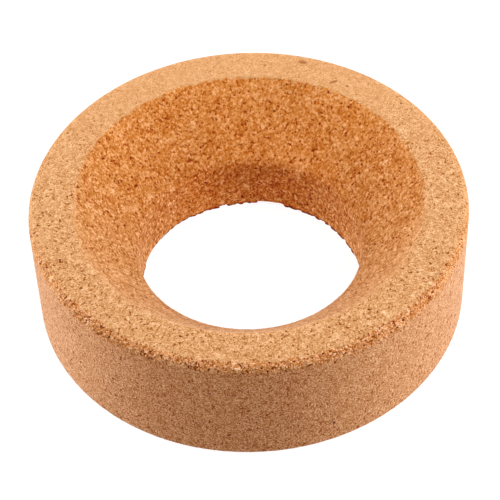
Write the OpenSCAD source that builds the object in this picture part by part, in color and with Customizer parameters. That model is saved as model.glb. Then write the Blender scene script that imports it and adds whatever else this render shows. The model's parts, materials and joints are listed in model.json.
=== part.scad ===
// Cork flask ring: a support of agglomerated cork that holds a round-bottom flask upright on a bench.
// One piece, turned all over: a plain outer wall, a flat rim, a conical seat and a straight bore.
// The origin is the centre of the base, with +Z up the axis. All sizes are in millimetres.

/* [Ring] */
// Outside diameter of the ring
ring_d = 110; // [104:1:160]
// Height of the ring, from its base to its top face
ring_h = 32.5; // [27:0.5:48]

/* [Flask seat] */
// Diameter of the conical seat where it opens at the top face
mouth_d = 88; // [72:1:90]
// Diameter of the straight bore under the seat
bore_d = 57; // [30:1:64]
// Height of the straight bore, from the base to the foot of the seat
bore_h = 15.5; // [8:0.5:20]

/* [Edges] */
// Radius of the outer edge of the top face, which handling wears round
rim_edge_r = 2.2; // [0.5:0.1:4]
// Radius of the inner edge of the top face, where the seat begins
mouth_edge_r = 0.7; // [0.3:0.1:2]
// Radius of the throat, where the seat runs into the bore
throat_r = 5; // [1:0.1:6]
// Radius of the outer edge of the base
base_edge_r = 0.7; // [0.3:0.1:2]

/* [Hidden] */
// Fine enough for the rounded edges to look smooth in a preview
$fn = 144;
// Corners of the section in order round it, each as [distance from the axis, height, radius]
BORE_FOOT = [bore_d / 2, 0, 0];
BASE_EDGE = [ring_d / 2, 0, base_edge_r];
RIM_EDGE = [ring_d / 2, ring_h, rim_edge_r];
MOUTH_EDGE = [mouth_d / 2, ring_h, mouth_edge_r];
THROAT = [bore_d / 2, bore_h, throat_r];
SECTION = [BORE_FOOT, BASE_EDGE, RIM_EDGE, MOUTH_EDGE, THROAT];

// Place of a corner, without its radius
function place(corner) = [corner[0], corner[1]];

// Direction from one point to another, as a vector of length 1
function heading(from, to) = (to - from) / norm(to - from);

// Half of the angle that the sides of a corner enclose
function half_angle(to_last, to_next) = acos(to_last * to_next) / 2;

// A corner's two tangent points and the centre of its round, or the bare point if it is sharp
function rounded(last, corner, next) =
    let (
        tip = place(corner),
        to_last = heading(tip, place(last)),
        to_next = heading(tip, place(next)),
        half = half_angle(to_last, to_next),
        setback = corner[2] / tan(half),
        middle = heading([0, 0], to_last + to_next)
    )
    [tip + setback * to_last, tip + setback * to_next, tip + middle * corner[2] / sin(half)];

// Section of the ring: straight sides between the tangent points, with a true circle in each corner
module section() {
    count = len(SECTION);
    rounds = [
        for (i = [0 : count - 1])
            rounded(SECTION[(i + count - 1) % count], SECTION[i], SECTION[(i + 1) % count])
    ];
    polygon([
        for (i = [0 : count - 1])
            for (point = SECTION[i][2] > 0 ? [rounds[i][0], rounds[i][1]] : [place(SECTION[i])])
                point
    ]);
    for (i = [0 : count - 1])
        if (SECTION[i][2] > 0)
            translate(rounds[i][2])
                circle(r = SECTION[i][2]);
}

// The ring itself, one solid of bonded cork grains
module cork_ring() {
    color([0.80, 0.56, 0.35])
        rotate_extrude()
            section();
}

cork_ring();
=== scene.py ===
"""Cork flask ring: one ring of pressed cork grains, ground on every face, on a white studio table.

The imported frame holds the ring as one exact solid. This script models the same ring with its real
skin, which is cork grains of several sizes, the gaps and pits between them, a crumbled rim and a
chipped lower edge of the bore, and then lights it. Lengths are in metres unless a name or a docstring
says millimetres.
"""

import json
import logging
import math
from collections.abc import Callable
from dataclasses import dataclass
from enum import Enum

import bmesh
import bpy
import numpy as np
from mathutils import Matrix, Vector


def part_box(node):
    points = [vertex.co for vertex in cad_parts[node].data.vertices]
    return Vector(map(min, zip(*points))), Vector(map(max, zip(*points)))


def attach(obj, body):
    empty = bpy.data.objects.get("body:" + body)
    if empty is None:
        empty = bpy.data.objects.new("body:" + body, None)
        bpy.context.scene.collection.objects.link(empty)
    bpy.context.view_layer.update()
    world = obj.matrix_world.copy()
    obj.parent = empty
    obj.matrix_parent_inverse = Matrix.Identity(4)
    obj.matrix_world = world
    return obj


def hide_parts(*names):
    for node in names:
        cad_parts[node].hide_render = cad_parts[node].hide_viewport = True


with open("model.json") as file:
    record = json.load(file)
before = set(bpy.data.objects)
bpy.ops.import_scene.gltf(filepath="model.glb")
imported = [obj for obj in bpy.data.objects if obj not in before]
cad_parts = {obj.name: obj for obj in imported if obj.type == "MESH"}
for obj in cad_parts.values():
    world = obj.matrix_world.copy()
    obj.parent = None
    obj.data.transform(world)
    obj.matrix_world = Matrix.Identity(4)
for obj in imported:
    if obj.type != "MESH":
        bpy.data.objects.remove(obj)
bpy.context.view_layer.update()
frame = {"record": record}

LOG = logging.getLogger("cork_ring")
NODE = "cork_ring"
MM = 0.001
MM_PER_M = 1000.0
FULL_TURN = 2 * math.pi
CLOSE_ENOUGH = 1e-6  # how far apart two places may be and still count as level, in metres
REST_PLACE = "rest_place"  # the attribute that keeps where a point was on the smooth ring
BAKE_MAP = "OFBake"  # the UV map that the materials are baked into
HALFWAY = 0.5  # the middle of a noise or of a cell's random number
EYE_GAMMA = 2.2  # the curve of the scale on which the eye sees even steps
EYE_WEIGHTS = (0.299, 0.587, 0.114)  # how bright red, green and blue look
GRAIN_STEP = 0.147  # how far two unlike grains differ on that scale
SHADE_MAKE_UP = 0.70  # how far that step makes up for the tint of the shade between rough grains
SMOOTH_SHADE = 0.4  # the share of that on a smooth face


class Wire:
    """A node's output socket that Python arithmetic can work on."""

    def __init__(self, graph: "Graph", socket: bpy.types.NodeSocket) -> None:
        """Keeps the socket and the graph that new Math nodes go into."""
        self.graph = graph
        self.socket = socket

    def __add__(self, other: "Wire | float") -> "Wire":
        """Adds a value to this one."""
        return self.graph.maths("ADD", self, other)

    def __sub__(self, other: "Wire | float") -> "Wire":
        """Takes a value from this one."""
        return self.graph.maths("SUBTRACT", self, other)

    def __rsub__(self, other: float) -> "Wire":
        """Takes this value from a number."""
        return self.graph.maths("SUBTRACT", other, self)

    def __mul__(self, other: "Wire | float") -> "Wire":
        """Multiplies this value by another."""
        return self.graph.maths("MULTIPLY", self, other)

    def __neg__(self) -> "Wire":
        """Turns this value's sign."""
        return self.graph.maths("MULTIPLY", self, -1.0)

    __radd__ = __add__
    __rmul__ = __mul__


class Graph:
    """Adds nodes to a shader tree or a geometry tree."""

    def __init__(self, tree: bpy.types.NodeTree) -> None:
        """Starts on an empty tree."""
        self.tree = tree
        tree.nodes.clear()

    def add(
        self,
        kind: str,
        settings: dict[str, object] | None = None,
        inputs: dict[str | int, object] | None = None,
    ) -> bpy.types.Node:
        """Adds one node.

        Args:
            kind: The node's type name.
            settings: Properties of the node, set before its sockets are touched.
            inputs: Values or wires for its sockets, by name or number.

        Returns:
            The new node.
        """
        node = self.tree.nodes.new(kind)
        for name, value in (settings or {}).items():
            setattr(node, name, value)
        for name, value in (inputs or {}).items():
            if isinstance(value, Wire):
                self.tree.links.new(value.socket, node.inputs[name])
            else:
                node.inputs[name].default_value = value
        return node

    def wire(self, kind: str, out: str | int = 0, **options: dict) -> Wire:
        """Adds a node and gives one of its outputs.

        Args:
            kind: The node's type name.
            out: The output wanted, by name or number.
            options: settings and inputs, as for add.

        Returns:
            That output.
        """
        return Wire(self, self.add(kind, **options).outputs[out])

    def maths(self, operation: str, *values: "Wire | float") -> Wire:
        """Adds a Math node.

        Args:
            operation: What the node works out.
            values: Its inputs, in order.

        Returns:
            The result.
        """
        settings = {"operation": operation}
        return self.wire("ShaderNodeMath", settings=settings, inputs=dict(enumerate(values)))

    def vector(self, operation: str, *values: object, out: str | int = 0) -> Wire:
        """Adds a Vector Math node.

        Args:
            operation: What the node works out.
            values: Its inputs, in order.
            out: The output wanted.

        Returns:
            The result, a vector for most operations.
        """
        settings = {"operation": operation}
        return self.wire(
            "ShaderNodeVectorMath", out, settings=settings, inputs=dict(enumerate(values))
        )

    def scale(self, vector: object, factor: "Wire | float") -> Wire:
        """Makes a vector or a colour longer or shorter.

        Args:
            vector: What is scaled.
            factor: How many times as long it becomes.

        Returns:
            The scaled vector.
        """
        inputs = {"Vector": vector, "Scale": factor}
        return self.wire("ShaderNodeVectorMath", settings={"operation": "SCALE"}, inputs=inputs)

    def fade(self, value: Wire, low: "Wire | float", high: "Wire | float") -> Wire:
        """Maps a value to 0 at low and 1 at high, with a soft start and end.

        Args:
            value: What is mapped.
            low: Where the result is 0.
            high: Where the result is 1.

        Returns:
            A number from 0 to 1.
        """
        settings = {"interpolation_type": "SMOOTHSTEP"}
        inputs = {"Value": value, "From Min": low, "From Max": high}
        return self.wire("ShaderNodeMapRange", settings=settings, inputs=inputs)

    def blend(self, share: "Wire | float", first: object, second: object) -> Wire:
        """Mixes two numbers.

        Args:
            share: How much of the second there is, from 0 to 1.
            first: What shows at 0.
            second: What shows at 1.

        Returns:
            The mixed number.
        """
        return self.wire("ShaderNodeMix", inputs={0: share, 2: first, 3: second})

    def tint(self, share: "Wire | float", first: object, second: object) -> Wire:
        """Mixes two colours.

        Args:
            share: How much of the second there is, from 0 to 1.
            first: The colour that shows at 0.
            second: The colour that shows at 1.

        Returns:
            The mixed colour.
        """
        inputs = {0: share, 6: first, 7: second}
        return self.wire("ShaderNodeMix", 2, settings={"data_type": "RGBA"}, inputs=inputs)

    def noise(self, place: Wire, size_mm: float, detail: float = 2.0, out: str = "Fac") -> Wire:
        """Adds a noise pattern.

        Args:
            place: Where it is read, in millimetres.
            size_mm: About how far apart its blobs are.
            detail: How many finer octaves it has.
            out: Fac for one number, Color for three.

        Returns:
            The pattern, round 0.5.
        """
        inputs = {"Vector": place, "Scale": 1.0 / size_mm, "Detail": detail}
        return self.wire("ShaderNodeTexNoise", out, inputs=inputs)

    def cells(self, place: Wire, size_mm: float) -> "Cells":
        """Splits space into irregular cells.

        Args:
            place: Where the cells are read, in millimetres.
            size_mm: About how wide a cell is.

        Returns:
            What is known of the cell at that place.
        """
        inputs = {"Vector": place, "Scale": 1.0 / size_mm}
        near = self.add("ShaderNodeTexVoronoi", inputs=inputs)
        drawn = self.add("ShaderNodeSeparateXYZ", inputs={0: Wire(self, near.outputs["Color"])})
        settings = {"feature": "DISTANCE_TO_EDGE"}
        depth = self.wire("ShaderNodeTexVoronoi", settings=settings, inputs=inputs)
        return Cells(
            tone=Wire(self, drawn.outputs[0]),
            kind=Wire(self, drawn.outputs[1]),
            depth=depth * size_mm,
            away=Wire(self, near.outputs["Distance"]) * size_mm,
        )


@dataclass(frozen=True)
class Cells:
    """One cell's two random numbers, how deep inside it a place is, and how far from its seed, in mm."""

    tone: Wire
    kind: Wire
    depth: Wire
    away: Wire


@dataclass(frozen=True)
class Band:
    """A stretch in which something sets in, from none of it at low to all of it at high."""

    low: float
    high: float

    def counted_from(self, start: float, unit: float = 1.0) -> "Band":
        """Gives the same stretch where it is counted from a start, in a unit."""
        return Band(start + self.low * unit, start + self.high * unit)

    def reached(self, graph: Graph, value: Wire) -> Wire:
        """Says how far a value has come through the stretch, from 0 to 1."""
        return graph.fade(value, self.low, self.high)


@dataclass(frozen=True)
class RingSizes:
    """The ring's own sizes, as its solid has them, in metres.

    Middle height is a share of the height, at which the middle of the section is taken to be.
    """

    outer_r: float
    height: float
    bore_r: float
    mouth_r: float = 0.044
    seat_foot: float = 0.0155
    rim_edge: float = 0.0022
    mouth_edge: float = 0.0007
    throat: float = 0.005
    base_edge: float = 0.0007
    middle_height: float = 0.45

    @classmethod
    def from_frame(cls) -> "RingSizes":
        """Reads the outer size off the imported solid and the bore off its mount.

        Returns:
            The sizes.
        """
        low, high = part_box(NODE)
        mounts = {mount["name"]: mount for mount in frame["record"]["mounts"]}
        bore_r = mounts["bore"]["dims"]["r_mm"] * MM
        return cls(outer_r=(high[0] - low[0]) / 2, height=high[2] - low[2], bore_r=bore_r)

    @property
    def section_middle(self) -> tuple[float, float]:
        """A point inside the section from which every face is seen: distance from the axis, height."""
        return (self.bore_r + self.outer_r) / 2, self.height * self.middle_height


class Zone(Enum):
    """The faces of the ring, which are ground or worn in different ways. The rim is the top's front edge."""

    WALL = "wall"
    RIM = "rim"
    TOP = "top"
    SEAT = "seat"
    BORE = "bore"
    BASE = "base"


@dataclass(frozen=True)
class Texture:
    """How one face of the ring is ground.

    The colour is linear red, green and blue. Contrast, relief and pits say how strongly the grain's
    pattern, its depth and its pits show, and 1 is the grain's own. Fine is the share of small grains,
    lost is the share of grains that have come out, sanded says how much smoother the face gets towards
    the back, dust how much of the mottling is fine, and fuzz how much of the cork's dusty bloom lies on
    the face. Painted light at back is how much paler the face is painted at the back than in the
    middle, painted light there and painted shade at the front, and painted light at bearing how much
    paler it is painted round one bearing, which is painted shade where it is below nothing.
    """

    colour: tuple[float, float, float]
    contrast: float
    relief: float
    pits: float
    fine: float
    lost: float
    sanded: float
    dust: float
    fuzz: float
    # Painted light at the back with painted shade at the front, and painted light round one bearing, which
    # is painted shade where it is below nothing.
    painted_light_at_back: float = 0.0
    painted_light_at_bearing: float = 0.0

    @property
    def seen(self) -> tuple[float, ...]:
        """The colour on the even scale that the eye sees, where grains differ by like steps."""
        return tuple(part ** (1 / EYE_GAMMA) for part in self.colour)

    @property
    def step(self) -> tuple[float, ...]:
        """How far grains differ on that scale, less where the shade between them takes more.

        Returns:
            The step in red, green and blue.
        """
        plain = sum(weight * part for weight, part in zip(EYE_WEIGHTS, self.seen))
        make_up = SHADE_MAKE_UP * (SMOOTH_SHADE + (1 - SMOOTH_SHADE) * self.relief)
        return tuple(GRAIN_STEP * (1 + make_up * (1 - part / plain)) for part in self.seen)


# Painted light at back and at bearing paint light and shade into each face's colour.
TEXTURES = {
    Zone.WALL: Texture(
        colour=(0.596, 0.231, 0.076),
        contrast=1.24,
        relief=0.35,
        pits=0.95,
        fine=0.99,
        lost=0.0,
        sanded=0.0,
        dust=1.0,
        fuzz=0.5,
        painted_light_at_back=0.06,
    ),
    Zone.RIM: Texture(
        colour=(0.700, 0.290, 0.094),
        contrast=1.55,
        relief=1.0,
        pits=1.2,
        fine=0.90,
        lost=0.05,
        sanded=0.3,
        dust=0.9,
        fuzz=0.2,
        painted_light_at_back=0.04,
    ),
    Zone.TOP: Texture(
        colour=(0.644, 0.320, 0.129),
        contrast=1.07,
        relief=0.45,
        pits=1.4,
        fine=0.88,
        lost=0.01,
        sanded=0.45,
        dust=0.8,
        fuzz=0.35,
        painted_light_at_back=0.02,
    ),
    Zone.SEAT: Texture(
        colour=(0.608, 0.242, 0.061),
        contrast=0.90,
        relief=0.75,
        pits=1.6,
        fine=0.93,
        lost=0.02,
        sanded=0.0,
        dust=0.22,
        fuzz=0.3,
        painted_light_at_back=0.12,
        painted_light_at_bearing=0.05,
    ),
    Zone.BORE: Texture(
        colour=(0.690, 0.236, 0.039),
        contrast=1.04,
        relief=0.75,
        pits=1.2,
        fine=0.93,
        lost=0.04,
        sanded=0.0,
        dust=0.12,
        fuzz=0.0,
        painted_light_at_back=0.0,
        painted_light_at_bearing=-0.05,
    ),
    Zone.BASE: Texture(
        colour=(0.630, 0.312, 0.130),
        contrast=1.0,
        relief=0.45,
        pits=0.8,
        fine=0.85,
        lost=0.0,
        sanded=0.0,
        dust=0.8,
        fuzz=0.35,
    ),
}


@dataclass(frozen=True)
class Spot:
    """A place on the smooth ring, in millimetres.

    It holds the place itself, its reach from the axis, its height, how far it is across to the right,
    and how far back it is.
    """

    place: Wire
    reach: Wire
    height: Wire
    across: Wire
    back: Wire

    def towards(self, graph: Graph, bearing: float) -> Wire:
        """Compares the place's bearing with another.

        Args:
            graph: The tree that the nodes go into.
            bearing: The other bearing, in degrees.

        Returns:
            The cosine of the angle between them.
        """
        angle = math.radians(bearing)
        aim = (math.cos(angle), math.sin(angle), 0.0)
        along = graph.vector("DOT_PRODUCT", self.place, aim, out="Value")
        return graph.maths("DIVIDE", along, self.reach)


@dataclass(frozen=True)
class Borders:
    """Where one face's finish gives way to the next, in millimetres unless it says otherwise.

    Ragged says how uneven the borders are, and ragged size how long their teeth are. The top's finish
    sets in at crown, counted upwards from the top in radii of the rim's edge. The crumbled edge is at
    the front only, where front counts backwards from the axis. It reaches edge wide in from the outer
    face, and up to knocked wide further, and edge blend is the width of its border, all in the same
    radii. Mouth blend is half the border round the mouth, and mouth front sheen is how much further in
    the top's paler finish comes at the front, a painted sheen on the seat that is seen edge-on there.
    The seat counts upwards from its foot, the wall's finish is complete at wall depth inside the outer
    face, and the base's gives way above it, over base.
    """

    ragged: float = 2.4
    ragged_size: float = 1.5
    crown: Band = Band(-0.95, -0.70)
    base: Band = Band(0.15, 0.45)
    mouth_blend: float = 0.4
    mouth_front_sheen: float = 3.0
    front: Band = Band(-38.0, 4.0)
    edge_wide: float = 0.60
    knocked_wide: float = 0.50
    edge_blend: float = 0.35
    wall_depth: float = 1.0
    seat: Band = Band(-1.5, 1.0)


@dataclass(frozen=True)
class PaintedSheenAndLight:
    """Where the top's paler colour is painted on other faces, as painted sheen and light. Bands and the
    shift are in millimetres.

    The paint is strongest at the front, up to wear and sheen, which counts backwards from the axis and
    leans by front lean for each millimetre across. Sides and flanks count outwards from the middle, the
    sides from a line that is shifted to the left. The rest say how much of a face's own colour the
    painted sheen and light take.
    """

    wear_and_sheen: Band = Band(-25.0, 25.0)
    front_lean: float = 0.15
    sides: Band = Band(8.0, 42.0)
    sides_shift: float = 6.0
    flanks: Band = Band(10.0, 27.0)
    on_seat: float = 0.65
    on_bore: float = 0.35
    on_flanks: float = 0.5
    on_sides: float = 0.5


@dataclass(frozen=True)
class EdgeDarkening:
    """Where edges are painted darker, in millimetres.

    The bore's lower edge gets painted shade, where it faces down to the table, and it ends at foot.
    The rim's darker patches count outwards from the outer face, upwards from the top and backwards
    from the axis. They lie where a noise reaches patches, with rim share of the darkness of the bore's
    lower edge.
    """

    outward: Band = Band(-1.9, -0.9)
    upward: Band = Band(-2.0, -1.4)
    backward: Band = Band(-15.0, 40.0)
    patches: Band = Band(0.36, 0.68)
    patch_size: float = 1.1
    rim_share: float = 0.32
    foot: Band = Band(0.1, 1.2)


@dataclass(frozen=True)
class ZoneMap:
    """Says where a place on the ring is, and what lies there."""

    sizes: RingSizes
    borders: Borders = Borders()
    # Where the top's paler colour is painted on other faces, as painted sheen and light.
    dust: PaintedSheenAndLight = PaintedSheenAndLight()
    # Painted shade on the bore's lower edge, and darker patches on the rim towards the back.
    edge_darkening: EdgeDarkening = EdgeDarkening()

    def spot(self, graph: Graph, place: Wire) -> Spot:
        """Takes a place apart.

        Args:
            graph: The tree that the nodes go into.
            place: The place on the smooth ring, in metres.

        Returns:
            The place in millimetres.
        """
        place = graph.scale(place, MM_PER_M)
        parts = graph.add("ShaderNodeSeparateXYZ", inputs={0: place})
        flat = graph.vector("MULTIPLY", place, (1.0, 1.0, 0.0))
        return Spot(
            place=place,
            reach=graph.vector("LENGTH", flat, out="Value"),
            height=Wire(graph, parts.outputs[2]),
            across=Wire(graph, parts.outputs[0]),
            back=Wire(graph, parts.outputs[1]),
        )

    def shares(self, graph: Graph, spot: Spot) -> dict[Zone, Wire]:
        """Works out each zone's share at a place.

        Args:
            graph: The tree that the nodes go into.
            spot: The place.

        Returns:
            A number from 0 to 1 for each zone, and together they add up to 1.
        """
        sizes, borders = self.sizes, self.borders
        ragged = (graph.noise(spot.place, borders.ragged_size) - HALFWAY) * borders.ragged
        reach, height = spot.reach + ragged, spot.height + ragged
        top_z, outer_r = sizes.height * MM_PER_M, sizes.outer_r * MM_PER_M
        edge, mouth_r = sizes.rim_edge * MM_PER_M, sizes.mouth_r * MM_PER_M
        high = borders.crown.counted_from(top_z, edge).reached(graph, height)
        above = borders.base.reached(graph, spot.height)
        # At the front the top's finish comes further down the seat, a painted sheen where the seat is seen
        # edge-on.
        mouth_in = mouth_r - borders.mouth_blend - self.wear_and_sheen(graph, spot) * borders.mouth_front_sheen
        past_mouth = graph.fade(reach, mouth_in, mouth_r + borders.mouth_blend)
        knocked = 1.0 - borders.front.reached(graph, spot.back)
        edge_from = outer_r - (knocked * borders.knocked_wide + borders.edge_wide) * edge
        on_edge = graph.fade(reach, edge_from, edge_from + borders.edge_blend * edge) * knocked
        outside = graph.fade(spot.reach, mouth_r, outer_r - borders.wall_depth)
        seated = borders.seat.counted_from(sizes.seat_foot * MM_PER_M).reached(graph, height)
        below_rim = outside * (1.0 - high)
        faced = above * (1.0 - below_rim)
        crown = faced * past_mouth
        inside = faced * (1.0 - past_mouth)
        return {
            Zone.WALL: above * below_rim,
            Zone.RIM: crown * on_edge,
            Zone.TOP: crown * (1.0 - on_edge),
            Zone.SEAT: inside * seated,
            Zone.BORE: inside * (1.0 - seated),
            Zone.BASE: 1.0 - above,
        }

    def wear_and_sheen(self, graph: Graph, spot: Spot) -> Wire:
        """Says where the top's colour is painted as sheen: 1 at the front, 0 at the back, and a little more
        on the left.
        """
        leaning = spot.back + spot.across * self.dust.front_lean
        return 1.0 - self.dust.wear_and_sheen.reached(graph, leaning)

    def painted_sheen_shares(self, graph: Graph, spot: Spot, shares: dict[Zone, Wire]) -> dict[Zone, Wire]:
        """Works out whose colour a place has, because the top's paler colour is painted on other faces.

        It is painted sheen and light on the front of the seat and the bore, on the bore's flanks and on the
        wall's sides.

        Args:
            graph: The tree that the nodes go into.
            spot: The place.
            shares: The zones' shares at the place.

        Returns:
            A number from 0 to 1 for each zone, and together they add up to 1.
        """
        dust = self.dust
        wear_and_sheen = self.wear_and_sheen(graph, spot)
        side = dust.sides.reached(graph, graph.maths("ABSOLUTE", spot.across + dust.sides_shift))
        flank = dust.flanks.reached(graph, graph.maths("ABSOLUTE", spot.across))
        painted_over = {
            Zone.SEAT: shares[Zone.SEAT] * wear_and_sheen * dust.on_seat,
            Zone.BORE: shares[Zone.BORE] * (wear_and_sheen * dust.on_bore + flank * dust.on_flanks),
            Zone.WALL: shares[Zone.WALL] * side * dust.on_sides,
        }
        left = {zone: shares[zone] - part for zone, part in painted_over.items()}
        return shares | left | {Zone.TOP: shares[Zone.TOP] + sum(painted_over.values())}

    def darkened_edges(self, graph: Graph, spot: Spot) -> Wire:
        """Finds where the colour is darkened: painted shade on the bore's lower edge, and patches on the rim
        except in front.

        Args:
            graph: The tree that the nodes go into.
            spot: The place.

        Returns:
            1 on the bore's edge, up to the rim's share on the rim's, and 0 away from them.
        """
        edge_darkening = self.edge_darkening
        outward = edge_darkening.outward.counted_from(self.sizes.outer_r * MM_PER_M)
        upward = edge_darkening.upward.counted_from(self.sizes.height * MM_PER_M)
        rim = outward.reached(graph, spot.reach) * edge_darkening.backward.reached(graph, spot.back)
        rim = rim * upward.reached(graph, spot.height)
        patches = edge_darkening.patches.reached(graph, graph.noise(spot.place, edge_darkening.patch_size))
        return self.foot(graph, spot) + rim * patches * edge_darkening.rim_share

    def foot(self, graph: Graph, spot: Spot) -> Wire:
        """Finds the lower edge of the bore.

        Args:
            graph: The tree that the nodes go into.
            spot: The place.

        Returns:
            1 at the edge and 0 about a millimetre away from it.
        """
        inset = spot.reach - self.sizes.bore_r * MM_PER_M
        away = graph.maths("SQRT", inset * inset + spot.height * spot.height)
        return 1.0 - self.edge_darkening.foot.reached(graph, away)

    @staticmethod
    def weigh(shares: dict[Zone, Wire], value: Callable[[Zone], float]) -> Wire:
        """Adds up a number that each zone has, weighted by the zones' shares.

        Args:
            shares: The zones' shares at a place.
            value: Gives a zone's own number.

        Returns:
            The number at that place.
        """
        return sum(share * value(zone) for zone, share in shares.items())

    @staticmethod
    def weigh_colour(
        graph: Graph, shares: dict[Zone, Wire], value: Callable[[Zone], tuple[float, ...]]
    ) -> Wire:
        """Adds up a colour that each zone has, weighted by the zones' shares.

        Args:
            graph: The tree that the nodes go into.
            shares: The zones' shares at a place.
            value: Gives a zone's own colour.

        Returns:
            The colour at that place.
        """
        total = (0.0, 0.0, 0.0)
        for zone, share in shares.items():
            total = graph.vector("MULTIPLY_ADD", value(zone), share, total)
        return total


@dataclass(frozen=True)
class Parts:
    """How much each part of the grain's pattern counts.

    Gaps, pits and lost grains take away, and the rest add. A grain's tone is its own random number,
    and its dome is its rounded back. The mottling lies over the grains, and the clouds over many of
    them. A fleck is a grain that is paler than the rest. In the colour, the dome is painted light on a
    grain's top and painted shade at its border, and gaps, pits and lost grains are painted shade in
    the hollows.
    """

    tone: float
    dome: float
    gap: float
    mottle: float
    pit: float
    lost: float
    cloud: float = 0.0
    fleck: float = 0.0


@dataclass(frozen=True)
class GrainField:
    """What is known of the grain at a place.

    It holds how pale the grain is in steps, with the painted light on its dome and the painted shade
    in its hollows, how high in millimetres, how much of a pit and of a speck of bark there is, the
    zones' shares, and the place.
    """

    level: Wire
    height: Wire
    pit: Wire
    bark: Wire
    shares: dict[Zone, Wire]
    spot: Spot


@dataclass(frozen=True)
class Grain:
    """The pressed cork grains, broken to several sizes in millimetres, and a little taller than wide.

    Coarse and fine are the two sizes of grain, warp bends their borders, and dome is how far in from
    its border a grain rises. Gaps lie along the borders where a noise reaches gap open, fully deep up
    to gap start and gone at gap width. Pit share of the seeds have a pit, which reaches up to pit reach
    from its seed: pit core is the share of it that is fully deep, pit ragged how far the mottling
    moves its border, and least pit keeps its size above nothing. Sanding counts backwards from the
    axis, and its border wanders. Plain is how strongly a grain's own tone shows, less where the
    mottling is fine, and lift makes every grain paler.
    """

    coarse: float = 1.15
    fine: float = 0.62
    warp: float = 1.5
    warp_size: float = 0.8
    dome: Band = Band(0.0, 0.22)
    dome_middle: float = 0.7
    gap_start: float = 0.02
    gap_width: float = 0.18
    gap_opening: float = 1.0
    gap_open: Band = Band(0.42, 0.62)
    dust_size: float = 0.36
    mottle_size: float = 0.62
    cloud_size: float = 4.0
    pit_spacing: float = 0.85
    pit_reach: float = 0.46
    pit_share: float = 0.85
    pit_core: float = 0.5
    pit_ragged: float = 0.5
    least_pit: float = 0.001
    bark_share: float = 0.015
    fleck_share: float = 0.07
    upright: float = 0.85
    sanding: Band = Band(0.0, 45.0)
    sanding_wander: float = 30.0
    plain: float = 1.35
    lift: float = 0.2
    # In the colour, domes are painted light on the grains' tops and painted shade at their borders, and
    # gaps, pits and lost grains are painted shade in the hollows.
    in_colour_and_painted_shade: Parts = Parts(
        tone=1.2, dome=0.4, gap=0.5, mottle=4.2, pit=1.1, lost=0.8, cloud=0.8, fleck=0.1
    )
    in_relief: Parts = Parts(tone=0.06, dome=0.06, gap=0.10, mottle=0.14, pit=0.16, lost=0.3)

    def field(self, graph: Graph, place: Wire, zones: ZoneMap) -> GrainField:
        """Builds the pattern of grains that both the relief and the colours follow.

        Args:
            graph: The tree that the nodes go into.
            place: The place on the smooth ring, in metres.
            zones: Says which zone a place is in.

        Returns:
            The grain at that place.
        """
        spot = zones.spot(graph, place)
        shares = zones.shares(graph, spot)
        texture = {
            name: zones.weigh(shares, lambda zone, name=name: getattr(TEXTURES[zone], name))
            for name in ("contrast", "pits", "fine", "lost", "sanded", "dust")
        }
        laid = graph.vector("MULTIPLY", spot.place, (1.0, 1.0, self.upright))
        bend = graph.noise(laid, self.warp_size, out="Color")
        bend = graph.vector("SUBTRACT", bend, (HALFWAY,) * 3)
        bent = graph.vector("MULTIPLY_ADD", bend, (self.warp,) * 3, laid)
        big = graph.cells(bent, self.coarse)
        small = graph.cells(bent, self.fine)
        whole = graph.maths("GREATER_THAN", big.kind, texture["fine"])
        tone = graph.blend(whole, small.tone, big.tone)
        # A whole grain's own kind is always high, because it was chosen by it, so its tone serves.
        kind = graph.blend(whole, small.kind, big.tone)
        depth = graph.blend(whole, graph.maths("MINIMUM", small.depth, big.depth), big.depth)
        dome = self.dome.reached(graph, depth)
        opened = self.gap_open.reached(graph, graph.noise(laid, self.gap_opening, detail=1.0))
        gap = opened * (1.0 - graph.fade(depth, self.gap_start, self.gap_width))
        dust = graph.noise(laid, self.dust_size, detail=1.0) - HALFWAY
        mottle = graph.noise(laid, self.mottle_size, detail=1.0) - HALFWAY
        mottle = graph.blend(texture["dust"], mottle, dust)
        cloud = graph.noise(laid, self.cloud_size, detail=1.0) - HALFWAY
        seed = graph.cells(bent, self.pit_spacing)
        size = (seed.tone - (1.0 - self.pit_share)) * (self.pit_reach / self.pit_share)
        size = graph.maths("MAXIMUM", size, self.least_pit)
        wander = (graph.noise(spot.place, self.sanding_wander) - HALFWAY) * self.sanding_wander
        rough = 1.0 - self.sanding.reached(graph, spot.back + wander) * texture["sanded"]
        pit = 1.0 - graph.fade(seed.away + mottle * self.pit_ragged, size * self.pit_core, size)
        bark = graph.maths("LESS_THAN", seed.kind, self.bark_share) * pit
        pit = pit * rough * texture["pits"]
        lost = graph.maths("LESS_THAN", kind, texture["lost"]) * dome
        fleck = graph.maths("GREATER_THAN", kind, 1.0 - self.fleck_share) * dome
        plain = self.plain - texture["dust"]
        # Painted light on the domes' tops, painted shade at their borders and in gaps, pits and lost grains.
        part = self.in_colour_and_painted_shade
        level = (tone - HALFWAY) * part.tone + cloud * part.cloud
        level = level + (dome - self.dome_middle) * part.dome - gap * part.gap
        level = level * plain + mottle * part.mottle + fleck * part.fleck + self.lift
        level = level - pit * part.pit - lost * part.lost
        part = self.in_relief
        height = tone * part.tone + mottle * part.mottle + dome * part.dome
        height = height - gap * part.gap - pit * part.pit - lost * part.lost
        ease = rough * texture["contrast"]
        return GrainField(level * ease, height * ease, pit, bark, shares, spot)


@dataclass(frozen=True)
class Chip:
    """A place where grains have broken off the bore's lower edge.

    Bearing and half width are in degrees, anticlockwise from the right, and the depth in mm.
    """

    bearing: float
    half_width: float
    depth: float


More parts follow.
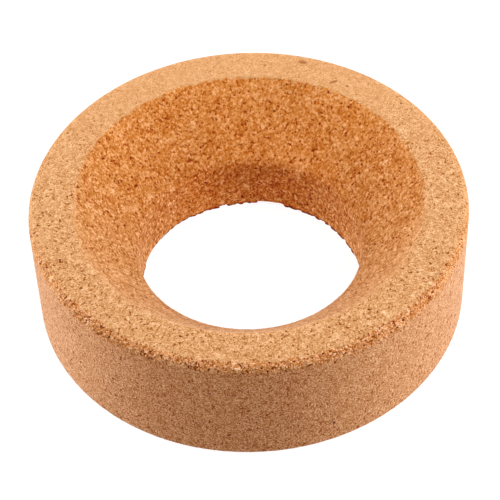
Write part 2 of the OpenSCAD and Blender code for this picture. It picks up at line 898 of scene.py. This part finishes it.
@dataclass(frozen=True)
class Relief:
    """How the skin is sunk below the smooth ring. Lengths are in millimetres.

    Grain as high as crest isn't sunk by its relief, and foot calm is the share of the relief that is
    missing at the bore's lower edge. Waver is a slow unevenness of the whole skin. Wear and chips
    break the bore's lower edge, and crumbs the edge of the rim. A chip is fully deep up to chip floor
    of its half width, and its border wanders over chip ragged degrees.
    """

    steps: int = 1200
    most_triangles: int = 196_000
    crest: float = 0.10
    foot_calm: float = 0.5
    waver: float = 0.06
    waver_size: float = 8.0
    wear: Band = Band(0.42, 0.72)
    wear_depth: float = 0.35
    wear_size: float = 1.8
    crumbs: Band = Band(0.50, 0.64)
    crumb_depth: float = 0.30
    crumb_size: float = 0.75
    chip_floor: float = 0.75
    chip_ragged: float = 3.0
    chips: tuple[Chip, ...] = (
        Chip(bearing=78.0, half_width=8.0, depth=1.0),
        Chip(bearing=103.5, half_width=2.2, depth=0.5),
        Chip(bearing=143.0, half_width=24.0, depth=0.45),
        Chip(bearing=11.0, half_width=5.0, depth=0.35),
    )

    def group(self, grain: Grain, zones: ZoneMap) -> bpy.types.NodeTree:
        """Makes the geometry nodes that sink the skin along its normal.

        Args:
            grain: The grains that the relief follows.
            zones: Says which zone a place is in.

        Returns:
            The node group.
        """
        tree = bpy.data.node_groups.new("cork_relief", "GeometryNodeTree")
        for way in ("INPUT", "OUTPUT"):
            tree.interface.new_socket("Geometry", in_out=way, socket_type="NodeSocketGeometry")
        graph = Graph(tree)
        place = graph.wire("GeometryNodeInputPosition")
        field = grain.field(graph, place, zones)
        rough = zones.weigh(field.shares, lambda zone: TEXTURES[zone].relief)
        foot = zones.foot(graph, field.spot)
        sunk = graph.maths("MAXIMUM", (self.crest - field.height) * rough, 0.0)
        sunk = sunk * (1.0 - foot * self.foot_calm)
        sunk = sunk + graph.noise(field.spot.place, self.waver_size) * self.waver
        sunk = sunk + foot * self.broken(graph, field.spot)
        crumbs = self.crumbs.reached(graph, graph.noise(field.spot.place, self.crumb_size))
        sunk = sunk + field.shares[Zone.RIM] * crumbs * self.crumb_depth
        inward = graph.scale(graph.wire("GeometryNodeInputNormal"), -(sunk * MM))
        skin = graph.wire("NodeGroupInput")
        store = {"data_type": "FLOAT_VECTOR", "domain": "POINT"}
        kept = {"Geometry": skin, "Name": REST_PLACE, "Value": place}
        skin = graph.wire("GeometryNodeStoreNamedAttribute", settings=store, inputs=kept)
        skin = graph.wire("GeometryNodeSetPosition", inputs={"Geometry": skin, "Offset": inward})
        graph.add("NodeGroupOutput", inputs={0: skin})
        return tree

    def broken(self, graph: Graph, spot: Spot) -> Wire:
        """Works out how much has broken off the bore's lower edge at each bearing.

        Args:
            graph: The tree that the nodes go into.
            spot: The place.

        Returns:
            The depth in millimetres.
        """
        wear_and_sheen = self.wear.reached(graph, graph.noise(spot.place, self.wear_size, detail=1.0))
        depth = wear_and_sheen * self.wear_depth
        ragged = (graph.noise(spot.place, self.wear_size) - HALFWAY) * self.chip_ragged
        for chip in self.chips:
            along = graph.maths("MINIMUM", spot.towards(graph, chip.bearing), 1.0)
            off = graph.maths("ARCCOSINE", along) * math.degrees(1.0)
            floor = chip.half_width * self.chip_floor
            inside = 1.0 - graph.fade(off + ragged, floor, chip.half_width)
            depth = depth + inside * chip.depth
        return depth


@dataclass(frozen=True)
class Fleck:
    """A long scrap of red bark that lies in the top face.

    Its place and half sizes are in millimetres, its lean is in degrees, anticlockwise from across, and
    its border, where it fades out, in shares of its half sizes.
    """

    across: float
    back: float
    half_length: float
    half_width: float
    lean: float
    border: Band = Band(0.6, 1.2)

    def cover(self, graph: Graph, spot: Spot) -> Wire:
        """Works out how much of a place the scrap covers.

        Args:
            graph: The tree that the nodes go into.
            spot: The place.

        Returns:
            1 on the scrap and 0 away from it.
        """
        turn = math.radians(self.lean)
        across, back = spot.across - self.across, spot.back - self.back
        along = (across * math.cos(turn) + back * math.sin(turn)) * (1.0 / self.half_length)
        aside = (back * math.cos(turn) - across * math.sin(turn)) * (1.0 / self.half_width)
        away = graph.maths("SQRT", along * along + aside * aside)
        return 1.0 - self.border.reached(graph, away)


@dataclass(frozen=True)
class CorkFinish:
    """Ground cork: every face has its own colour, with darker pits, paler crests and specks of bark.

    Bark and scrap are the linear colours of the specks and of the long flecks in the top. The darker
    pits and gaps and the paler crests are painted shade and painted light in the colour. Bump is the
    share of the relief that shading adds to the cut one. Roughness is the least there is, and spread
    and size say how it varies, the size in millimetres. Edge darkening is how many grain steps darker
    a darkened edge is, painted shade on the bore's lower edge, and darkest the least of a colour on the
    eye's scale. Faces get painted light round one bearing, in degrees, until its cosine has fallen by
    painted light spread, and painted shade there where their share is below nothing.
    """

    bark: tuple[float, float, float] = (0.155, 0.034, 0.005)
    scrap: tuple[float, float, float] = (0.40, 0.145, 0.036)
    flecks: tuple[Fleck, ...] = (
        Fleck(across=16.0, back=49.0, half_length=1.3, half_width=0.70, lean=-15.0),
        Fleck(across=23.8, back=40.9, half_length=1.4, half_width=0.50, lean=18.0),
        Fleck(across=27.2, back=39.0, half_length=0.45, half_width=0.45, lean=0.0),
    )
    bump: float = 0.25
    roughness: float = 0.72
    roughness_spread: float = 0.2
    roughness_size: float = 0.8
    gloss: float = 0.2
    sheen: float = 0.5
    sheen_roughness: float = 0.3
    # How many grain steps of painted shade the bore's lower edge gets, and the rim's patches a share of it.
    edge_darkening: float = 2.4
    darkest: float = 0.05
    painted_light_bearing: float = 73.0
    painted_light_spread: float = 0.3

    def material(self, grain: Grain, zones: ZoneMap) -> bpy.types.Material:
        """Builds the cork's shader.

        Args:
            grain: The grains that the colours follow.
            zones: Says which zone a place is in.

        Returns:
            The material.
        """
        material = bpy.data.materials.new("pressed_cork")
        material.use_nodes = True
        graph = Graph(material.node_tree)
        settings = {"attribute_name": REST_PLACE}
        place = graph.wire("ShaderNodeAttribute", "Vector", settings=settings)
        field = grain.field(graph, place, zones)
        rough = zones.weigh(field.shares, lambda zone: TEXTURES[zone].relief)
        inputs = {"Strength": 1.0, "Distance": MM, "Height": field.height * rough * self.bump}
        uneven = graph.noise(field.spot.place, self.roughness_size)
        ground = {
            "Base Color": self.shade(graph, field, zones),
            "Roughness": uneven * self.roughness_spread + self.roughness,
            "Normal": graph.wire("ShaderNodeBump", inputs=inputs),
            "Specular IOR Level": self.gloss,
        }
        clean = graph.wire("ShaderNodeBsdfPrincipled", inputs=ground)
        bloom = {"Sheen Weight": self.sheen, "Sheen Roughness": self.sheen_roughness}
        dusty = graph.wire("ShaderNodeBsdfPrincipled", inputs=ground | bloom)
        clear = 1.0 - graph.maths("MINIMUM", field.pit, 1.0)
        fuzz = zones.weigh(field.shares, lambda zone: TEXTURES[zone].fuzz) * clear
        shader = graph.wire("ShaderNodeMixShader", inputs={0: fuzz, 1: clean, 2: dusty})
        graph.add("ShaderNodeOutputMaterial", inputs={"Surface": shader})
        return material

    def shade(self, graph: Graph, field: GrainField, zones: ZoneMap) -> Wire:
        """Works out the colour of the skin.

        Args:
            graph: The shader's tree.
            field: The grain at the place.
            zones: Says which zone a place is in.

        Returns:
            The colour.
        """
        # The top's paler colour on the front of the seat and the bore, the bore's flanks and the wall's
        # sides is painted sheen and light.
        painted_sheen_shares = zones.painted_sheen_shares(graph, field.spot, field.shares)
        seen = zones.weigh_colour(graph, painted_sheen_shares, lambda zone: TEXTURES[zone].seen)
        # Painted light on the back of a face and painted shade on its front, and painted light round one
        # bearing on the seat, with painted shade there on the bore.
        painted_light_at_back = zones.weigh(painted_sheen_shares, lambda zone: TEXTURES[zone].painted_light_at_back)
        far_back = field.spot.back * (1.0 / (zones.sizes.outer_r * MM_PER_M))
        painted_light_at_bearing = zones.weigh(field.shares, lambda zone: TEXTURES[zone].painted_light_at_bearing)
        turned = field.spot.towards(graph, self.painted_light_bearing)
        painted_light_at_bearing = graph.fade(turned, 1.0 - self.painted_light_spread, 1.0) * painted_light_at_bearing
        seen = graph.scale(seen, far_back * painted_light_at_back + painted_light_at_bearing + 1.0)
        step = zones.weigh_colour(graph, painted_sheen_shares, lambda zone: TEXTURES[zone].step)
        # Painted shade on the bore's lower edge, where it faces down to the table, and darker patches on the
        # rim towards the back.
        level = field.level - zones.darkened_edges(graph, field.spot) * self.edge_darkening
        seen = graph.vector("MULTIPLY_ADD", step, level, seen)
        seen = graph.vector("MAXIMUM", seen, (self.darkest,) * 3)
        seen = graph.vector("MINIMUM", seen, (1.0,) * 3)
        inputs = {"Color": seen, "Gamma": EYE_GAMMA}
        colour = graph.wire("ShaderNodeGamma", inputs=inputs)
        colour = graph.tint(field.bark, colour, (*self.bark, 1.0))
        scraps = sum(fleck.cover(graph, field.spot) for fleck in self.flecks)
        return graph.tint(scraps * field.shares[Zone.TOP], colour, (*self.scrap, 1.0))


def deselect_all() -> None:
    """Leaves no object selected, because an operator acts on all that is."""
    bpy.ops.object.select_all(action="DESELECT")


def make_active(piece: bpy.types.Object) -> None:
    """Selects one object alone and makes it the active one.

    Args:
        piece: The object.
    """
    deselect_all()
    piece.select_set(True)
    bpy.context.view_layer.objects.active = piece


def apply_modifier(piece: bpy.types.Object, modifier: bpy.types.Modifier) -> None:
    """Applies a modifier to its object's mesh."""
    make_active(piece)
    bpy.ops.object.modifier_apply(modifier=modifier.name)


def triangles_in(piece: bpy.types.Object) -> int:
    """Counts the triangles that a piece's faces come to."""
    return sum(len(face.vertices) - 2 for face in piece.data.polygons)


@dataclass
class CorkRing:
    """The ring: its section is drawn in a plane, turned round the axis, and given its grain.

    Close, usual, wide and widest are the spacings of the section's points, and rough end is how far
    the close ones reach down the wall and up the bore. Edges past sharp degrees are shaded sharp. In
    the map for the bake the base gets base share of its true width, and map edge stays empty.
    """

    sizes: RingSizes
    grain: Grain
    relief: Relief
    finish: CorkFinish
    close: float = 0.20 * MM
    usual: float = 0.29 * MM
    wide: float = 0.50 * MM
    widest: float = 0.90 * MM
    rough_end: float = 3.0 * MM
    least_segments: int = 3
    sharp: float = 65.0
    base_share: float = 0.4
    map_edge: float = 0.015

    def section(self) -> bpy.types.Object:
        """Draws the section as a closed wire: a rectangle with the seat cut off and its edges rounded.

        Returns:
            The wire, in the plane y = 0.
        """
        sizes = self.sizes
        wall = sizes.outer_r - sizes.bore_r
        middle = (sizes.bore_r + wall / 2, 0.0, sizes.height / 2)
        deselect_all()
        bpy.ops.mesh.primitive_plane_add(size=1.0, location=middle, rotation=(math.pi / 2, 0, 0))
        piece = bpy.context.object
        piece.name = NODE + "_skin"
        piece.scale = (wall, sizes.height, 1.0)
        bpy.ops.object.transform_apply(location=True, rotation=True, scale=True)
        bpy.ops.object.mode_set(mode="EDIT")
        bpy.ops.mesh.select_all(action="SELECT")
        mouth = Vector((sizes.mouth_r, 0.0, sizes.height))
        foot = Vector((sizes.bore_r, 0.0, sizes.seat_foot))
        along = mouth - foot
        outward = Vector((-along.z, 0.0, along.x))
        bpy.ops.mesh.bisect(plane_co=mouth, plane_no=outward, clear_outer=True)
        corners = (
            (mouth, sizes.mouth_edge),
            (foot, sizes.throat),
            (Vector((sizes.outer_r, 0.0, sizes.height)), sizes.rim_edge),
            (Vector((sizes.outer_r, 0.0, 0.0)), sizes.base_edge),
        )
        for corner, radius in corners:
            self.round_corner(piece, corner, radius)
        bpy.ops.mesh.select_all(action="SELECT")
        bpy.ops.mesh.delete(type="ONLY_FACE")
        self.split_edges()
        self.divide_edges(piece)
        bpy.ops.object.mode_set(mode="OBJECT")
        return piece

    def round_corner(self, piece: bpy.types.Object, corner: Vector, radius: float) -> None:
        """Rounds one corner of the section to a radius.

        Args:
            piece: The section, in edit mode.
            corner: The sharp corner's place.
            radius: The radius of its round.
        """
        mesh = bmesh.from_edit_mesh(piece.data)
        tip = min(mesh.verts, key=lambda vertex: (vertex.co - corner).length)
        first, second = (edge.other_vert(tip).co - tip.co for edge in tip.link_edges)
        half = first.angle(second) / 2
        arc = radius * (math.pi - 2 * half)
        bpy.ops.mesh.select_all(action="DESELECT")
        tip.select = True
        mesh.select_flush_mode()
        bmesh.update_edit_mesh(piece.data)
        bpy.ops.mesh.bevel(
            offset=radius / math.tan(half),
            offset_type="OFFSET",
            segments=max(self.least_segments, round(arc / self.spacing(corner))),
            profile=0.5,
            affect="VERTICES",
            clamp_overlap=False,
        )

    def split_edges(self) -> None:
        """Splits the wall and the bore where their rough ends start, with the section in edit mode."""
        for height in (self.sizes.height - self.rough_end, self.rough_end):
            bpy.ops.mesh.select_all(action="SELECT")
            bpy.ops.mesh.bisect(plane_co=(0.0, 0.0, height), plane_no=(0.0, 0.0, 1.0))

    def spacing(self, place: Vector) -> float:
        """Says how far apart the section's points are.

        Args:
            place: A place on the section.

        Returns:
            The spacing: close at the crumbled rim and the chipped foot of the bore, and wide where plain.
        """
        sizes = self.sizes
        if place.z < CLOSE_ENOUGH and place.x > sizes.bore_r + CLOSE_ENOUGH:
            return self.widest
        if place.x > sizes.outer_r - sizes.rim_edge:
            return self.close if place.z > sizes.height - self.rough_end else self.wide
        return self.close if place.z < self.rough_end else self.usual

    def divide_edges(self, piece: bpy.types.Object) -> None:
        """Divides the section's long edges, so that its points lie about their spacing apart.

        Args:
            piece: The section, in edit mode.
        """
        mesh = bmesh.from_edit_mesh(piece.data)
        pending = {}
        for edge in mesh.edges:
            middle = (edge.verts[0].co + edge.verts[1].co) / 2
            cuts = round(edge.calc_length() / self.spacing(middle)) - 1
            if cuts > 0:
                pending.setdefault(cuts, []).append(edge)
        for cuts, edges in pending.items():
            bmesh.ops.subdivide_edges(mesh, edges=edges, cuts=cuts)
        bmesh.update_edit_mesh(piece.data)

    def turn(self, piece: bpy.types.Object) -> None:
        """Turns the section once round the axis and closes the skin.

        Args:
            piece: The section.
        """
        lathe = piece.modifiers.new("turn", "SCREW")
        lathe.axis = "Z"
        lathe.angle = FULL_TURN
        lathe.steps = lathe.render_steps = self.relief.steps
        lathe.use_merge_vertices = True
        apply_modifier(piece, lathe)
        bpy.ops.object.mode_set(mode="EDIT")
        bpy.ops.mesh.select_all(action="SELECT")
        bpy.ops.mesh.normals_make_consistent(inside=False)
        bpy.ops.object.mode_set(mode="OBJECT")

    def raise_grain(self, piece: bpy.types.Object, zones: ZoneMap) -> None:
        """Sinks the skin between the grains, and then thins it where it is plain.

        Args:
            piece: The smooth skin.
            zones: Says which zone a place is in.
        """
        bpy.ops.object.shade_smooth()
        sink = piece.modifiers.new("grain", "NODES")
        sink.node_group = self.relief.group(self.grain, zones)
        apply_modifier(piece, sink)
        thin = piece.modifiers.new("thin", "DECIMATE")
        thin.ratio = min(1.0, self.relief.most_triangles / triangles_in(piece))
        apply_modifier(piece, thin)
        make_active(piece)
        bpy.ops.object.shade_smooth_by_angle(angle=math.radians(self.sharp))

    def girth(self, piece: bpy.types.Object) -> tuple[np.ndarray, np.ndarray]:
        """Measures the way round the section, from the middle of its base.

        Args:
            piece: The section, before it is turned.

        Returns:
            Each point's angle as seen from the section's middle, and its way along the section.
        """
        points = np.array([vertex.co[:] for vertex in piece.data.vertices])
        angles = self.bearing(points[:, 0], points[:, 2])
        order = np.argsort(angles)
        points = points[order]
        steps = np.linalg.norm(np.roll(points, -1, axis=0) - points, axis=1)
        on_base = np.maximum(points[:, 2], np.roll(points[:, 2], -1)) < CLOSE_ENOUGH
        steps[on_base] *= self.base_share
        way = np.concatenate(([0.0], np.cumsum(steps)))
        around = np.concatenate((angles[order], [angles[order][0] + FULL_TURN]))
        return around, way

    def bearing(self, reach: np.ndarray, height: np.ndarray) -> np.ndarray:
        """Works out the angles of places as seen from the section's middle, from 0 straight down."""
        reach_0, height_0 = self.sizes.section_middle
        return np.mod(np.arctan2(height - height_0, reach - reach_0) + math.pi / 2, FULL_TURN)

    def lay_map(self, piece: bpy.types.Object, girth: tuple[np.ndarray, np.ndarray]) -> None:
        """Lays the skin out flat as two half turns, one above the other, for the bake.

        Args:
            piece: The finished skin.
            girth: The way round the section, as measured on it.
        """
        mesh = piece.data
        rest = np.empty(len(mesh.vertices) * 3)
        mesh.attributes[REST_PLACE].data.foreach_get("vector", rest)
        rest = rest.reshape(-1, 3)
        corner = np.empty(len(mesh.loops), dtype=np.int32)
        mesh.loops.foreach_get("vertex_index", corner)
        count = np.empty(len(mesh.polygons), dtype=np.int32)
        mesh.polygons.foreach_get("loop_total", count)
        face = np.repeat(np.arange(len(count)), count)
        start = np.concatenate(([0], np.cumsum(count)[:-1]))
        # A face across the seam gets its corners' bearings from one side of it.
        turn = np.mod(np.arctan2(rest[:, 1], rest[:, 0]), FULL_TURN)[corner]
        first = turn[start][face]
        turn = turn + FULL_TURN * (turn < first - math.pi) - FULL_TURN * (turn > first + math.pi)
        centre = np.add.reduceat(turn, start) / count
        shift = np.where(centre < 0, FULL_TURN, np.where(centre >= FULL_TURN, -FULL_TURN, 0.0))
        turn, centre = turn + shift[face], centre + shift
        half = (centre >= math.pi).astype(float)[face]
        # The way along the section starts in the middle of the base, and a face there may wrap too.
        around, way = girth
        angle = self.bearing(np.hypot(rest[:, 0], rest[:, 1]), rest[:, 2])[corner]
        wraps = np.maximum.reduceat(angle, start) - np.minimum.reduceat(angle, start) > math.pi
        late = wraps[face] & (angle < math.pi)
        along = np.interp(angle, around, way) + way[-1] * late
        across = self.map_edge + (1 - 2 * self.map_edge) * (turn - half * math.pi) / math.pi
        upward = self.map_edge + (1 - 2 * self.map_edge) * along / way[-1]
        for layer in list(mesh.uv_layers):
            mesh.uv_layers.remove(layer)
        layer = mesh.uv_layers.new(name=BAKE_MAP)
        layer.uv.foreach_set("vector", np.column_stack((across, (upward + half) / 2)).ravel())

    def build(self) -> bpy.types.Object:
        """Builds the whole ring.

        Returns:
            The finished piece, which stands for the solid.
        """
        zones = ZoneMap(self.sizes)
        piece = self.section()
        girth = self.girth(piece)
        self.turn(piece)
        self.raise_grain(piece, zones)
        self.lay_map(piece, girth)
        piece.data.materials.append(self.finish.material(self.grain, zones))
        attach(piece, "root")
        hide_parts(NODE)
        return piece


@dataclass(frozen=True)
class Lamp:
    """A soft square light: the way it lies from the ring, its distance, side and brightness."""

    name: str
    towards: tuple[float, float, float]
    away: float
    side: float
    radiance: float


@dataclass(frozen=True)
class Studio:
    """A white table that glows, in a dark room with soft lamps behind, above and at both sides."""

    lamps: tuple[Lamp, ...] = (
        Lamp("lamp_behind", towards=(0.0, 1.0, 0.3), away=1.1, side=0.6, radiance=2.9),
        Lamp("lamp_left", towards=(-1.0, 0.1, 0.8), away=1.1, side=0.8, radiance=4.1),
        Lamp("lamp_left_low", towards=(-1.0, 0.45, 0.14), away=1.0, side=0.28, radiance=22.0),
        Lamp("lamp_right", towards=(1.0, 0.1, 0.8), away=1.1, side=0.8, radiance=4.1),
        Lamp("lamp_right_low", towards=(1.0, 0.0, 0.14), away=1.0, side=0.28, radiance=16.4),
        Lamp("lamp_above", towards=(0.3, -0.1, 1.0), away=1.1, side=0.7, radiance=3.1),
    )
    floor_side: float = 6.0
    floor_grey: float = 0.2
    floor_glow: float = 0.9

    def build(self) -> None:
        """Lays the table and hangs the lamps."""
        deselect_all()
        bpy.ops.mesh.primitive_plane_add(size=self.floor_side, location=(0.0, 0.0, 0.0))
        floor = bpy.context.object
        floor.name = "floor"
        material = bpy.data.materials.new("white_table")
        material.use_nodes = True
        graph = Graph(material.node_tree)
        grey = (self.floor_grey, self.floor_grey, self.floor_grey, 1.0)
        inputs = {
            "Base Color": grey,
            "Roughness": 1.0,
            "Specular IOR Level": 0.0,
            "Emission Color": (1.0, 1.0, 1.0, 1.0),
            "Emission Strength": self.floor_glow,
        }
        shader = graph.wire("ShaderNodeBsdfPrincipled", inputs=inputs)
        graph.add("ShaderNodeOutputMaterial", inputs={"Surface": shader})
        floor.data.materials.append(material)
        for lamp in self.lamps:
            self.hang(lamp)
        world = bpy.data.worlds.new("room")
        bpy.context.scene.world = world
        world.use_nodes = True
        graph = Graph(world.node_tree)
        light = graph.wire("ShaderNodeBackground", inputs={"Color": (0.0, 0.0, 0.0, 1.0)})
        graph.add("ShaderNodeOutputWorld", inputs={"Surface": light})
        bpy.context.scene.view_settings.view_transform = "Standard"

    @staticmethod
    def hang(lamp: Lamp) -> None:
        """Hangs one lamp, turned to the ring.

        Args:
            lamp: Its place, side and brightness.
        """
        way = Vector(lamp.towards).normalized()
        light = bpy.data.lights.new(lamp.name, "AREA")
        light.size = lamp.side
        light.energy = lamp.radiance * math.pi * lamp.side**2
        holder = bpy.data.objects.new(lamp.name, light)
        holder.location = way * lamp.away
        holder.rotation_mode = "QUATERNION"
        holder.rotation_quaternion = way.to_track_quat("Z", "Y")
        bpy.context.collection.objects.link(holder)


@dataclass(frozen=True)
class Viewpoint:
    """The camera, which looks down on the ring from the front.

    The distance and the clipping are in metres, the angles in degrees, the lens and sensor in mm.
    """

    distance: float = 0.49847
    elevation: float = 48.7503
    pan: float = 0.004
    tilt: float = 0.9902
    roll: float = 2.2385
    lens: float = 137.06
    sensor: float = 36.0
    clip_start: float = 0.01
    clip_end: float = 20.0

    def build(self) -> None:
        """Makes the camera and sets it as the scene's."""
        data = bpy.data.cameras.new("camera")
        data.lens = self.lens
        data.sensor_width = self.sensor
        data.clip_start, data.clip_end = self.clip_start, self.clip_end
        camera = bpy.data.objects.new("camera", data)
        bpy.context.collection.objects.link(camera)
        rise = math.radians(self.elevation)
        eye = Vector((0.0, -math.cos(rise), math.sin(rise))) * self.distance
        turns = (
            Matrix.Rotation(math.pi / 2 - rise, 4, "X"),
            Matrix.Rotation(math.radians(self.pan), 4, "Y"),
            Matrix.Rotation(math.radians(self.tilt), 4, "X"),
            Matrix.Rotation(math.radians(-self.roll), 4, "Z"),
        )
        placed = Matrix.Translation(eye)
        for turn in turns:
            placed = placed @ turn
        camera.matrix_world = placed
        bpy.context.scene.camera = camera


def main() -> None:
    """Builds the ring, the studio and the camera."""
    sizes = RingSizes.from_frame()
    ring = CorkRing(sizes, Grain(), Relief(), CorkFinish()).build()
    LOG.info("%s: %d triangles", ring.name, triangles_in(ring))
    Studio().build()
    Viewpoint().build()


if __name__ == "__main__":
    logging.basicConfig(level=logging.INFO, format="%(message)s")
    main()
